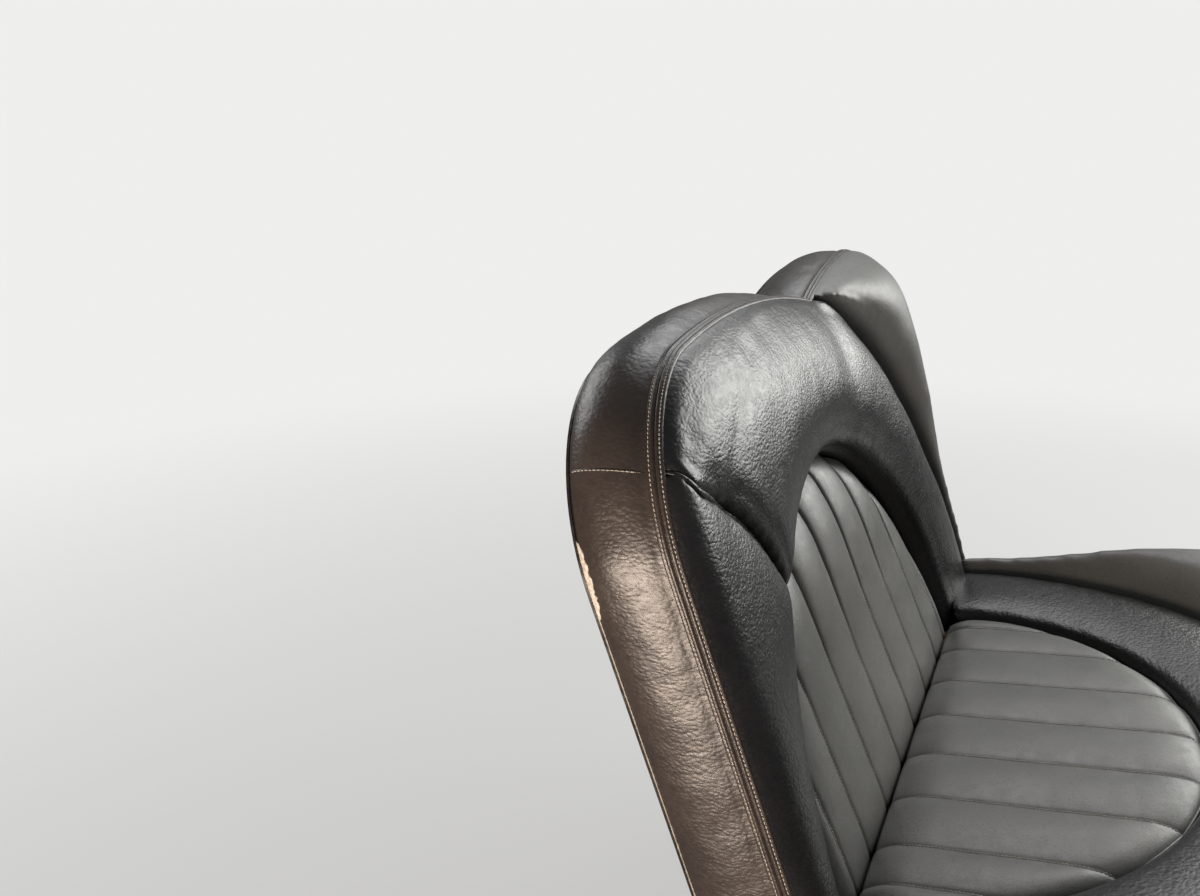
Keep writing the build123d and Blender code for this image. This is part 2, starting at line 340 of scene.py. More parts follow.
def roll_faces(rings, sides):
    """Faces of a closed roll: each ring of points is joined to the next, and a face closes both ends."""
    faces = []
    for ring in range(rings - 1):
        for side in range(sides):
            here, right = ring * sides + side, ring * sides + (side + 1) % sides
            faces.append((here, right, right + sides, here + sides))
    return faces + [tuple(range(sides)), tuple(range((rings - 1) * sides, rings * sides))]


def sweep(name, outline, profile, axes, wave=None):
    """A closed strip carried along an outline. The profile is (outward, level) pairs going round it."""
    points, normals = outline
    profile = np.asarray(profile)
    out, level = (np.tile(column, (len(points), 1)) for column in profile.T)
    if wave is not None:
        out = out + wave(run_length(points), profile)
    flat = points[:, None] + out[:, :, None] * normals[:, None]
    verts = np.dstack((flat, level)).reshape(-1, 3)
    return mesh_object(name, place(verts, axes), roll_faces(len(points), len(profile)))


def cut(axes, axis, low):
    """A change that removes what lies below a value along one axis of a plane, and closes the cut."""
    point = place([low * np.eye(3)[axis]], axes)[0]

    def change(shape):
        parts = shape.verts[:] + shape.edges[:] + shape.faces[:]
        plane = dict(plane_co=Vector(point), plane_no=Vector(-axes[axis]))
        found = bmesh.ops.bisect_plane(shape, geom=parts, dist=1e-6, clear_outer=True, **plane)
        rim = [item for item in found["geom_cut"] if isinstance(item, bmesh.types.BMEdge)]
        if rim:
            bmesh.ops.triangle_fill(shape, edges=rim, use_beauty=True)
    return change


# Padded panels: CAD solid, cut to its padding, remeshed, blown up as cloth and then detailed
PAD_CUT = -0.060
VOXEL = 0.0055
PLAIN_VOXEL = 0.0065
CLOTH = dict(
    quality=5, mass=0.3, use_pressure=True, vertex_group_mass="pins", pin_stiffness=1.0,
    tension_stiffness=12, compression_stiffness=12, shear_stiffness=5, bending_stiffness=2.0,
)
CLOTH_FRAMES = 20


def weld(shape):
    bmesh.ops.remove_doubles(shape, verts=shape.verts, dist=1e-5)


def pad_from_node(name, node, axes, *cuts, rounds=4, voxel=VOXEL):
    """A closed mesh of the padding of a CAD node, in even square faces."""
    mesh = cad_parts[node].data.copy()
    mesh.materials.clear()
    rework(mesh, weld, cut(axes, LEVEL, PAD_CUT), *cuts)
    piece = new_object(name, mesh)
    remesh = piece.modifiers.new("Remesh", "REMESH")
    remesh.mode = "VOXEL"
    remesh.voxel_size = voxel
    remesh.adaptivity = 0.0
    settle(piece)
    smooth = piece.modifiers.new("Smooth", "SMOOTH")
    smooth.factor = 0.5
    smooth.iterations = rounds
    settle(piece)
    return piece


def pin(piece, weights):
    """Holds vertices in the simulation, by a vertex group in steps of a hundredth."""
    group = piece.vertex_groups.new(name="pins")
    levels = np.round(np.clip(weights, 0, 1), 2)
    for level in np.unique(levels[levels > 0]):
        group.add(np.flatnonzero(levels == level).tolist(), float(level), "REPLACE")


def even_out(piece, rows, rounds):
    """Averages values at the vertices with those of their neighbours."""
    edges = np.empty(len(piece.data.edges) * 2, dtype=np.int32)
    piece.data.edges.foreach_get("vertices", edges)
    one, two = edges.reshape(-1, 2).T
    count = np.maximum(np.bincount(edges, minlength=len(rows)), 1)[:, None]
    for _ in range(rounds):
        total = np.zeros_like(rows)
        np.add.at(total, one, rows[two])
        np.add.at(total, two, rows[one])
        rows = 0.5 * rows + 0.5 * total / count
    return rows


def inflate(jobs):
    """Blows up each (piece, pinned weights, pressure, cap, evening rounds) as cloth and keeps the shape."""
    scene = bpy.context.scene
    starts = [coordinates(piece) for piece, *_ in jobs]
    for piece, pins, pressure, cap, rounds in jobs:
        pin(piece, pins)
        cloth = piece.modifiers.new("Cloth", "CLOTH")
        for key, value in CLOTH.items():
            setattr(cloth.settings, key, value)
        cloth.settings.uniform_pressure_force = pressure
        cloth.settings.effector_weights.gravity = 0
        cloth.collision_settings.use_collision = False
        cloth.collision_settings.use_self_collision = False
        cloth.point_cache.frame_start, cloth.point_cache.frame_end = 1, CLOTH_FRAMES
    for number in range(1, CLOTH_FRAMES + 1):
        scene.frame_set(number)
    for (piece, pins, pressure, cap, rounds), start in zip(jobs, starts):
        settle(piece)
        blown = even_out(piece, coordinates(piece) - start, rounds)
        length = np.linalg.norm(blown, axis=1) + 1e-9
        share = cap * np.tanh(length / cap) / length
        set_coordinates(piece, start + blown * share[:, None])
        piece.vertex_groups.clear()
    scene.frame_set(1)


def subdivide(piece):
    finer = piece.modifiers.new("Subdivision", "SUBSURF")
    finer.levels = finer.render_levels = 1
    settle(piece)


def refine(piece, axes):
    """One subdivision of all but the hidden flat of a pad, which is then closed by plain faces."""
    hidden = measure(coordinates(piece), axes)[:, 2] < PAD_CUT + 0.004

    def drop(shape):
        shape.verts.ensure_lookup_table()
        gone = [face for face in shape.faces if all(hidden[vert.index] for vert in face.verts)]
        bmesh.ops.delete(shape, geom=gone, context="FACES")

    def close(shape):
        rim = [edge for edge in shape.edges if edge.is_boundary]
        bmesh.ops.triangle_fill(shape, edges=rim, use_beauty=False)

    rework(piece.data, drop, turn=False)
    subdivide(piece)
    rework(piece.data, close)
    shade(piece)


def shift(piece, axes, change):
    """Moves vertices by what change says of their flat place and level: an array of local moves."""
    local = measure(coordinates(piece), axes)
    set_coordinates(piece, place(local + change(local), axes))


# Lines laid on a finished surface
DROP_HEIGHT = 0.12
RAY_HEIGHT = 0.06
LINE_STEP = 0.003


def surface_of(pieces):
    trees = []
    for piece in pieces:
        faces = [tuple(face.vertices) for face in piece.data.polygons]
        trees.append(BVHTree.FromPolygons([tuple(row) for row in coordinates(piece)], faces))
    return trees


def cast(trees, starts, directions, lift=0.0):
    """Where rays first meet a surface, the surface directions there, and which rays do."""
    places, ups, found = [], [], np.zeros(len(starts), dtype=bool)
    for index, (start, direction) in enumerate(zip(starts, directions)):
        best, way = None, Vector(direction)
        for tree in trees:
            spot, normal, _, far = tree.ray_cast(Vector(start), way)
            if spot is not None and (best is None or far < best[2]):
                best = (spot, normal, far)
        if best is not None:
            normal = best[1] if best[1].dot(way) < 0 else -best[1]
            places.append(np.array(best[0] + normal * lift))
            ups.append(np.array(normal))
            found[index] = True
    return np.array(places), np.array(ups), found


def lay_line(trees, flat, axes, lift=0.0):
    """Drops flat points onto the highest surface below them: their places and surface directions."""
    starts = place(at_level(flat, DROP_HEIGHT), axes)
    places, ups, _ = cast(trees, starts, np.tile(-axes[2], (len(flat), 1)), lift)
    return places, ups


def smooth_line(rows, rounds=3):
    rows = rows.copy()
    for _ in range(rounds):
        rows[1:-1] = 0.25 * rows[:-2] + 0.5 * rows[1:-1] + 0.25 * rows[2:]
    return rows


def tube(name, path, ups, width, height, sides=8):
    """A closed roll along a line, tapered at both ends."""
    along = unit(np.gradient(path, axis=0))
    side = unit(np.cross(ups, along))
    rise = np.cross(along, side)
    turn = np.arange(sides) / sides * 2 * math.pi
    steps = np.arange(len(path))
    taper = np.sqrt(np.clip(np.minimum(steps, steps[::-1]) / 4 + 0.25, 0, 1))
    wide = np.outer(taper * width, np.cos(turn))
    high = np.outer(taper * height, np.sin(turn))
    verts = path[:, None] + wide[:, :, None] * side[:, None] + high[:, :, None] * rise[:, None]
    return mesh_object(name, verts.reshape(-1, 3), roll_faces(len(path), sides))


# Fluted inserts: even columns between sewn seams, diving into the valley around them
RIM_COLUMNS = 26
WIDE_COLUMNS, NARROW_COLUMNS = 22, 18
WIDE_FLUTE = 0.08


def flute_marks():
    """The seams' places across an insert, with its two sides."""
    last = (FLUTE_SEAMS - 1) / 2 * FLUTE_PITCH
    inner = [index * FLUTE_PITCH - last for index in range(FLUTE_SEAMS)]
    outer = last + OUTER_FLUTE_WIDTH
    return [-INSERT_HALF_WIDTH, -outer] + inner + [outer, INSERT_HALF_WIDTH]


def flute_columns(left, right):
    """Places across one flute, closer together at its seams and at the rim, where the oval is steep."""
    if left <= -INSERT_HALF_WIDTH or right >= INSERT_HALF_WIDTH:
        span = math.acos(min(abs(left), abs(right)) / INSERT_HALF_WIDTH)
        angle = np.arange(RIM_COLUMNS) / RIM_COLUMNS * span
        if left < 0:
            return left + INSERT_HALF_WIDTH * (1 - np.cos(angle))
        return right - INSERT_HALF_WIDTH * (1 - np.cos(span - angle))
    count = WIDE_COLUMNS if right - left > WIDE_FLUTE else NARROW_COLUMNS
    share = np.arange(count) / count
    share = 0.5 * (0.5 - 0.5 * np.cos(share * math.pi)) + 0.5 * share
    return left + share * (right - left)


def insert_mesh(name, height, low, depth, surface, axes, rows=60):
    """A closed panel whose face is surface(x, y, seam distance, flute width, top of the column)."""
    marks = flute_marks()
    across, seam_gap, width = [], [], []
    for left, right in zip(marks, marks[1:]):
        places = flute_columns(left, right)
        across.append(places)
        seam_gap.append(np.minimum(places - left, right - places))
        width.append(np.full(len(places), right - left))
    across = np.concatenate(across + [[marks[-1]]])
    seam_gap = np.concatenate(seam_gap + [[0.0]])
    width = np.concatenate(width + [[marks[-1] - marks[-2]]])
    top = height * np.sqrt(np.clip(1 - (across / INSERT_HALF_WIDTH) ** 2, 1e-4, 1))
    share = np.sin(np.linspace(0, 1, rows) * math.pi / 2) * 0.6 + np.linspace(0, 1, rows) * 0.4
    y = low + share[:, None] * (top[None] - low)
    x = np.tile(across + PANEL_CENTRE, (rows, 1))
    level = surface(x, y, seam_gap[None], width[None], top[None])
    grid = [np.stack((x, y, level), axis=2)]
    for part in (0.25, 0.6, 1.0):
        grid.append(np.stack((x[:1], y[-1:], level[-1:] - depth * part), axis=2))
        grid.insert(0, np.stack((x[:1], y[:1], level[:1] - depth * part), axis=2))
    grid = np.concatenate(grid)
    total, wide = grid.shape[:2]
    piece = mesh_object(name, place(grid.transpose(1, 0, 2).reshape(-1, 3), axes), roll_faces(wide, total))
    held = np.zeros((wide, total))
    held[:3] = held[-3:] = held[:, :6] = held[:, rows:] = 1
    at_seam = np.repeat(1 - bump_shape((seam_gap - 0.003) / 0.010), total)
    return piece, np.repeat(seam_gap, total), np.maximum(held.ravel(), at_seam)


# Materials
def connect(tree, node, inputs):
    """Sets inputs of a node; each is a value, or another node's output to link."""
    for key, value in inputs.items():
        if isinstance(value, bpy.types.NodeSocket):
            tree.links.new(value, node.inputs[key])
        else:
            node.inputs[key].default_value = value


def wire(tree, kind, inputs, **settings):
    """Adds a node with settings and inputs."""
    node = tree.nodes.new(kind)
    for key, value in settings.items():
        setattr(node, key, value)
    connect(tree, node, inputs)
    return node


def shader(name, stretch=(1, 1, 1)):
    """A new material with its node tree, its main shader and the bench's own space, stretched."""
    material = bpy.data.materials.new(name)
    material.use_nodes = True
    tree = material.node_tree
    spot = wire(tree, "ShaderNodeTexCoord", {})
    space = wire(tree, "ShaderNodeMapping", {"Vector": spot.outputs["Object"], "Scale": stretch})
    return material, tree, tree.nodes["Principled BSDF"], space.outputs["Vector"]


def linear(red, green, blue):
    """A colour given as it shows on a screen, 0 to 255."""
    values = [channel / 255 for channel in (red, green, blue)]
    return tuple(v / 12.92 if v <= 0.04045 else ((v + 0.055) / 1.055) ** 2.4 for v in values) + (1.0,)


def clouds(tree, space, scale, detail, **inputs):
    """Soft noise of about that many patches to the metre."""
    return wire(tree, "ShaderNodeTexNoise", {"Vector": space, "Scale": scale, "Detail": detail, **inputs})


def ramp(tree, source, low, high, *colours):
    """Goes from the first colour at low to the second at high."""
    node = wire(tree, "ShaderNodeValToRGB", {"Fac": source})
    for element, at, colour in zip(node.color_ramp.elements, (low, high), colours):
        element.position = at
        element.color = colour
    return node.outputs["Color"]


def spread(tree, source, low, high):
    """A number that goes from low to high over the middle of a noise."""
    ends = {"From Min": 0.3, "From Max": 0.7, "To Min": low, "To Max": high}
    return wire(tree, "ShaderNodeMapRange", {"Value": source, **ends}).outputs["Result"]


def bump(tree, height, strength, distance, **under):
    inputs = {"Height": height, "Strength": strength, "Distance": distance, **under}
    return wire(tree, "ShaderNodeBump", inputs).outputs["Normal"]


def multiplied(tree, one, two, share):
    inputs = {"Factor": share, "A": one, "B": two}
    return wire(tree, "ShaderNodeMix", inputs, data_type="RGBA", blend_type="MULTIPLY").outputs["Result"]


def calculated(tree, operation, *values, **settings):
    inputs = dict(enumerate(values))
    return wire(tree, "ShaderNodeMath", inputs, operation=operation, **settings).outputs["Value"]


def grey(value):
    return (value, value, value, 1)


def leather(name, light, dark, rough, pebbles, pebble_depth, fold_depth, specular=0.5):
    """Grained hide: pebbles of about that many to the metre, fine folds, and uneven colour and gloss."""
    material, tree, main, space = shader(name, (0.75, 0.8, 1.25))
    warp = clouds(tree, space, pebbles * 0.25, 2.0).outputs["Color"]
    lean = {0: warp, 1: (2.2 / pebbles,) * 3, 2: space}
    lean = wire(tree, "ShaderNodeVectorMath", lean, operation="MULTIPLY_ADD").outputs["Vector"]
    pebble = {"Vector": lean, "Scale": pebbles, "Randomness": 1.0, "Smoothness": 0.3}
    pebble = wire(tree, "ShaderNodeTexVoronoi", pebble, feature="SMOOTH_F1").outputs["Distance"]
    pores = clouds(tree, space, pebbles * 3.0, 2.0).outputs["Fac"]
    folds = clouds(tree, space, 95.0, 4.0, Distortion=0.6).outputs["Fac"]
    wide = clouds(tree, space, 8.0, 3.0).outputs["Fac"]
    shades = ramp(tree, wide, 0.35, 0.65, linear(*dark), linear(*light))
    pits = ramp(tree, pebble, 0.45, 0.95, grey(1), grey(0.6))
    soft = bump(tree, folds, 1.0, fold_depth)
    grain = bump(tree, calculated(tree, "SUBTRACT", 1.0, pebble), 1.0, pebble_depth, Normal=soft)
    connect(tree, main, {
        "Base Color": multiplied(tree, shades, pits, 0.6),
        "Roughness": spread(tree, folds, rough - 0.05, rough + 0.06),
        "Normal": bump(tree, pores, 1.0, pebble_depth * 0.25, Normal=grain),
        "Specular IOR Level": specular,
    })
    return material


def grained(name, light, dark, rough, scale, depth, metallic=0.0):
    """A plain finish with uneven colour and a fine relief, such as paint, thread or bare metal."""
    material, tree, main, space = shader(name)
    texture = clouds(tree, space, scale, 4.0).outputs["Fac"]
    connect(tree, main, {
        "Base Color": ramp(tree, texture, 0.32, 0.68, linear(*dark), linear(*light)),
        "Roughness": spread(tree, texture, rough - 0.05, rough + 0.08),
        "Normal": bump(tree, texture, 0.6, depth),
        "Metallic": metallic,
    })
    return material


def plywood():
    """Birch ply: pale faces with long grain."""
    material, tree, main, space = shader("plywood", (3, 60, 60))
    figure = clouds(tree, space, 1.0, 6.0, Distortion=0.6).outputs["Fac"]
    connect(tree, main, {
        "Base Color": ramp(tree, figure, 0.3, 0.7, linear(104, 80, 56), linear(140, 112, 82)),
        "Roughness": spread(tree, figure, 0.5, 0.65),
        "Normal": bump(tree, figure, 0.4, 0.0004),
    })
    return material


def carpet():
    """Short cut pile: fine upright tufts of darker and lighter yarn, lying in uneven clumps."""
    material, tree, main, space = shader("riser_carpet")
    tuft = clouds(tree, space, 420.0, 5.0, Roughness=0.75).outputs["Fac"]
    clump = clouds(tree, space, 34.0, 3.0, Distortion=0.4).outputs["Fac"]
    yarn = ramp(tree, tuft, 0.36, 0.64, linear(22, 19, 17), linear(104, 91, 80))
    lie = ramp(tree, clump, 0.35, 0.65, grey(0.62), grey(1.15))
    connect(tree, main, {
        "Base Color": multiplied(tree, yarn, lie, 1.0),
        "Roughness": spread(tree, tuft, 1.0, 0.85),
        "Normal": bump(tree, tuft, 1.0, 0.004, Normal=bump(tree, clump, 0.5, 0.003)),
        "Specular IOR Level": 0.1,
        "Sheen Weight": 0.35,
    })
    return material


BLACK_LEATHER = leather(
    "black_leather", (27, 27, 29), (18, 18, 20), 0.34, 250.0, 0.00038, 0.00007, specular=0.55)
# The band's hide is the same black leather, given a warmer brown colour as painted warm sheen: it stands in for
# warm light reflected off black leather. The strip of the back seam and the band's cross seam use it too.
BAND_LEATHER_PAINTED_SHEEN = leather(
    "band_leather_painted_sheen", (60, 52, 47), (44, 38, 35), 0.36, 250.0, 0.00030, 0.00007, specular=0.6)
GREY_LEATHER = leather(
    "grey_leather", (110, 109, 105), (97, 97, 94), 0.42, 480.0, 0.00010, 0.00020, specular=0.5)
VINYL = leather(
    "black_vinyl", (32, 32, 33), (25, 25, 26), 0.45, 700.0, 0.00008, 0.00020, specular=0.45)
THREAD = grained("thread", (190, 186, 176), (150, 145, 136), 0.6, 2600.0, 0.0002)
GREY_THREAD = grained("grey_thread", (208, 206, 198), (176, 174, 166), 0.6, 2600.0, 0.0002)
STEEL = grained("painted_steel", (36, 36, 38), (24, 24, 26), 0.4, 500.0, 0.0002)
BOLT = grained("bolt_head", (70, 70, 72), (44, 44, 46), 0.3, 700.0, 0.0001, metallic=0.8)
TRIM = grained("edge_trim", (44, 40, 38), (22, 21, 21), 0.22, 120.0, 0.0003)
# The pale colour of the rear edge line is a painted highlight, for the edge catching light.
PAINTED_EDGE_HIGHLIGHT = grained("painted_edge_highlight", (158, 154, 146), (112, 107, 100), 0.45, 300.0, 0.0003)
WORN = grained("worn_edge", (214, 208, 198), (168, 158, 148), 0.5, 300.0, 0.0004)
PLYWOOD = plywood()
CARPET = carpet()


def finish_piece(piece, material, nodes=()):
    piece.data.materials.clear()
    piece.data.materials.append(material)
    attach(piece, "root")
    if nodes:
        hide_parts(*nodes)


# Padded panels: their edges, and how far flat points lie from these
BACK_LINE = back_outline(BACK_LOW)
SEAT_LINE = cushion_outline(SEAT_LOW)
BACK_SEAM_LEVEL = BACK_ROLL * (math.sin(BACK_SEAM_ANGLE) - 1)
SEAT_SEAM_LEVEL = CUSHION_ROLL * (math.sin(CUSHION_SEAM_ANGLE) - 1)
CROWN_LOW = -0.040
LEG_LOW = -0.10


def seam_circle_distance(flat):
    x, y, radius = LEG_SEAM
    return np.hypot(flat[:, 0] - x, flat[:, 1] - y) - radius


def outside_arch(flat):
    return oval_distance(flat, BACK_ARCH_HALF_WIDTH, BACK_ARCH_HEIGHT)


def inside_arch(flat):
    return -outside_arch(flat)


def outside_border(flat):
    return oval_distance(flat, CUSHION_BORDER_HALF_WIDTH, CUSHION_BORDER_DEPTH)


def outside_insert(flat):
    return oval_distance(flat, INSERT_HALF_WIDTH, BACK_INSERT_HEIGHT) - 0.010


crown_end, leg_end = (cut(BACK_AXES, ALONG, low) for low in (CROWN_LOW, LEG_LOW))
crown = pad_from_node("arch_crown", "back_arch_crown", BACK_AXES, crown_end, rounds=8)
leg = pad_from_node("arch_leg", "back_arch_leg", BACK_AXES, leg_end)
corner = pad_from_node("corner_panel", "back_corner_panel", BACK_AXES, rounds=14, voxel=PLAIN_VOXEL)
border = pad_from_node("seat_border", "cushion_border", SEAT_AXES, voxel=PLAIN_VOXEL)
seat_corner = pad_from_node(
    "seat_corner_panel", "cushion_corner_panel", SEAT_AXES, rounds=8, voxel=PLAIN_VOXEL)


# Faces of the inserts: their level by place, distance to a seam, flute width and top of the column
def from_side(x, reach, least=0.0):
    """From least at the insert's sides to 1 that far inside them."""
    return np.clip((INSERT_HALF_WIDTH - np.abs(x - PANEL_CENTRE)) / reach, least, 1)


def back_insert_level(x, y, seam_gap, width, top):
    """Rolls that stand out most near the top, with a narrow sewn seam between them."""
    past = 1 - np.clip((top - y) / 0.17, 0, 1)
    dive = 0.013 * past**3 + 0.013 * past**8 + 0.012 * (1 - from_side(x, 0.05)) ** 2
    upper = bump_shape((y - 0.12) / 0.16)
    share = np.clip(2 * seam_gap / width, 0, 1)
    round_top = np.sqrt(np.clip(1 - (1 - share) ** 2, 0, 1))
    roll = from_side(x, 0.03, 0.25) * (0.0036 + 0.0080 * upper) * round_top
    channel = (0.0010 + 0.0012 * upper) * np.exp(-(seam_gap / 0.0024) ** 2)
    return -INSERT_SINK - 0.010 - INSERT_LEAN * np.maximum(y, 0) + roll - channel - dive


def seat_insert_level(x, y, seam_gap, width, top):
    """Shallow rolls between sewn seams, falling to the valley at the front and to the crease behind."""
    past = 1 - np.clip((top - y) / 0.08, 0, 1)
    dive = 0.007 * past**3 + 0.011 * past**9 + 0.008 * (1 - from_side(x, 0.04)) ** 2
    behind = 0.014 * np.clip(1 - y / 0.06, 0, 1) ** 3
    share = np.clip(2 * seam_gap / width, 0, 1)
    roll = 0.0032 * np.clip(1 - (1 - share) ** 3, 0, 1)
    channel = 0.0009 * np.exp(-(seam_gap / 0.0018) ** 2)
    return -INSERT_SINK - 0.006 + roll - channel - dive - behind


back_insert, back_seams, back_pins = insert_mesh(
    "back_flutes", BACK_INSERT_HEIGHT + 0.001, -0.03, 0.022, back_insert_level, BACK_AXES)
seat_insert, seat_seams, seat_pins = insert_mesh(
    "seat_flutes", CUSHION_INSERT_DEPTH + 0.001, 0.0, 0.03, seat_insert_level, SEAT_AXES)


# Blown up, then filled out and evened
def pins_of(piece, axes, start, seams=()):
    """Holds a pad below a level and along its seams."""
    local = measure(coordinates(piece), axes)
    pins = 1 - bump_shape((local[:, 2] - start) / 0.014)
    for distance in seams:
        pins = np.maximum(pins, 1 - bump_shape((np.abs(distance(local[:, :2])) - 0.004) / 0.012))
    return pins


inflate([
    (crown, pins_of(crown, BACK_AXES, -0.026, [seam_circle_distance]), 5.0, 0.016, 24),
    (leg, pins_of(leg, BACK_AXES, -0.026, [seam_circle_distance]), 3.0, 0.006, 12),
    (corner, pins_of(corner, BACK_AXES, -0.030), 6.0, 0.016, 24),
    (border, pins_of(border, SEAT_AXES, -0.016), 4.0, 0.010, 8),
    (seat_corner, pins_of(seat_corner, SEAT_AXES, -0.020), 7.0, 0.018, 16),
    (back_insert, back_pins, 4.0, 0.004, 0),
    (seat_insert, seat_pins, 4.0, 0.003, 0),
])


def fuller(height, outline, start, reach, gaps):
    """Raises the middle of a pad, fading out towards the outline and over each gap from another edge."""
    def change(local):
        flat = local[:, :2]
        inset, _ = edge_distance(flat, outline)
        share = bump_shape((inset - start) / reach) * bump_shape((local[:, 2] + 0.040) / 0.020)
        for distance, fade in gaps:
            share = share * bump_shape(distance(flat) / fade)
        return moved(local, LEVEL, height * share)
    return change


def soften(piece, axes, outline, rounds, edges):
    """Evens out a pad's face, but not its border along the outline and along each other edge."""
    def change(local):
        inset, _ = edge_distance(local[:, :2], outline)
        share = bump_shape((inset - 0.006) / 0.030) * bump_shape((local[:, 2] + 0.034) / 0.014)
        for distance in edges:
            share = share * bump_shape((np.abs(distance(local[:, :2])) - 0.004) / 0.020)
        return share[:, None] * (even_out(piece, local, rounds) - local)
    shift(piece, axes, change)


def press_back(local):
    """The rear edge of a cushion panel, pressed into the backrest's foam at the crease's wall end."""
    at_crease, at_wall = 1 - bump_shape(local[:, 1] / 0.035), bump_shape((local[:, 0] - 0.300) / 0.080)
    return moved(local, ALONG, -0.010 * at_crease * at_wall)


def tuck_edge(outline, seam_level):
    """Moves the pad's side in behind the band, below the band's seam."""
    def change(local):
        inset, out = edge_distance(local[:, :2], outline)
        near = (inset < 0.014) & (local[:, 2] < seam_level - 0.003)
        return at_level(-0.006 * out * near[:, None], 0.0)
    return change


crown_gaps = [(outside_insert, 0.070), (inside_arch, 0.045)]
shift(crown, BACK_AXES, fuller(0.006, BACK_LINE, 0.010, 0.070, crown_gaps))
shift(corner, BACK_AXES, fuller(0.014, BACK_LINE, 0.010, 0.070, [(outside_arch, 0.050)]))
shift(seat_corner, SEAT_AXES, fuller(0.034, SEAT_LINE, 0.0, 0.055, [(outside_border, 0.040)]))
soften(crown, BACK_AXES, BACK_LINE, 66, [seam_circle_distance, outside_arch, outside_insert])
soften(corner, BACK_AXES, BACK_LINE, 46, [outside_arch])
soften(seat_corner, SEAT_AXES, SEAT_LINE, 23, [outside_border])
for piece in (border, seat_corner):
    shift(piece, SEAT_AXES, press_back)
for piece in (crown, leg, corner):
    refine(piece, BACK_AXES)
    shift(piece, BACK_AXES, tuck_edge(BACK_LINE, BACK_SEAM_LEVEL))
for piece in (border, seat_corner):
    refine(piece, SEAT_AXES)
    shift(piece, SEAT_AXES, tuck_edge(SEAT_LINE, SEAT_SEAM_LEVEL))


# The leg seam and the wrinkles
def sink_leg_seam(local):
    """Both sides of the leg seam roll down into it, deeper towards the insert."""
    distance = np.abs(seam_circle_distance(local[:, :2]))
    inset, _ = edge_distance(local[:, :2], BACK_LINE)
    inner = bump_shape(inset / 0.11)
    depth, reach = 0.0015 + 0.0075 * inner, 0.004 + 0.010 * inner
    on_arc = local[:, 1] > LEG_SEAM[1] - 0.02
    return moved(local, LEVEL, -depth * np.exp(-distance / reach) * on_arc * (local[:, 2] > -0.03))


def leg_seam_start():
    """How far along the backrest's edge the leg seam's circle meets it."""
    points = BACK_LINE[0]
    miss = np.abs(seam_circle_distance(points)) + (points[:, 0] > -0.3) + (points[:, 1] < 0.3)
    return run_length(points)[miss.argmin()]


SEAM_START = leg_seam_start()
SEAM_SLIDE = 0.022


def slid(flat):
    """Flat points near the leg seam's start, carried along the edge so that the seam meets it higher."""
    length, inset = along_edge(flat, BACK_LINE)
    near_edge = 1 - bump_shape(inset / 0.048)
    near_seam = 1 - bump_shape(np.abs(length - SEAM_START) / 0.110)
    share = near_edge * near_seam * (flat[:, 0] < -0.2)
    before, _ = from_edge(length, inset, BACK_LINE)
    after, _ = from_edge(length + SEAM_SLIDE * share, inset, BACK_LINE)
    return flat + after - before


def slide_leg_seam(local):
    return at_level(slid(local[:, :2]) - local[:, :2], 0.0)


def back_wrinkles(puckers, swells, creases):
    """Puckers square to the front seam, soft swells, and fine creases over the face, each of that depth."""
    def change(local):
        flat = local[:, :2]
        inset, _ = edge_distance(flat, BACK_LINE)
        turn = np.arctan2(flat[:, 1] - 0.12, flat[:, 0] - HUMP_X)
        patch = bump_shape(0.5 + ripple(flat, 9.0, seed=63.0))
        pucker = ripple(np.column_stack((turn * 0.42, inset * 0.30)), 44.0, seed=3.0) * patch
        near = np.exp(-np.clip(inset - 0.03, 0, None) / 0.05) * bump_shape((inset - 0.008) / 0.03)
        soft = ripple(flat, 12.0, seed=9.0, detail=2)
        slant = np.column_stack((flat[:, 0] + 0.35 * flat[:, 1], 0.30 * flat[:, 1]))
        crease = np.clip(1 - np.abs(ripple(slant, 38.0, seed=21.0, detail=2)) * 2.2, 0, 1) ** 2
        face = bump_shape((local[:, 2] + 0.02) / 0.02)
        return moved(local, LEVEL, face * (puckers * pucker * near + swells * soft - creases * crease))
    return change


for piece in (crown, leg):
    shift(piece, BACK_AXES, sink_leg_seam)
shift(crown, BACK_AXES, back_wrinkles(0.0008, 0.0014, 0.0002))
shift(leg, BACK_AXES, back_wrinkles(0.0005, 0.0006, 0.0002))
shift(corner, BACK_AXES, back_wrinkles(0.0006, 0.0010, 0.0001))
for piece in (crown, leg):
    shift(piece, BACK_AXES, slide_leg_seam)
finish_piece(crown, BLACK_LEATHER, ["back_arch_crown"])
finish_piece(leg, BLACK_LEATHER, ["back_arch_leg"])
finish_piece(corner, GREY_LEATHER, ["back_corner_panel"])
finish_piece(border, BLACK_LEATHER, ["cushion_border"])
finish_piece(seat_corner, GREY_LEATHER, ["cushion_corner_panel"])


# Inserts
def insert_wrinkles(strength, seams):
    """Small pulls beside the seams and soft swells."""
    def change(local):
        flat = local[:, :2]
        pull = ripple(flat * (0.25, 1), 48.0, seed=31.0, detail=2) * np.exp(-seams / 0.012)
        soft = ripple(flat, 16.0, seed=41.0, detail=2)
        return moved(local, LEVEL, strength * (0.0007 * pull + 0.0008 * soft))
    return change


shift(back_insert, BACK_AXES, insert_wrinkles(1.0, back_seams))
shift(seat_insert, SEAT_AXES, insert_wrinkles(0.8, seat_seams))
for piece, node in ((back_insert, "back_insert"), (seat_insert, "cushion_insert")):
    subdivide(piece)
    finish_piece(piece, GREY_LEATHER, [node])


# Bands
BAND_THICKNESS = 0.006
BACK_BULGE = 0.009
SEAT_BULGE = 0.006
FOAM_STEPS, ROLL_STEPS = 18, 5
DECK_GAP = 0.0005
BACK_GAP = 0.001


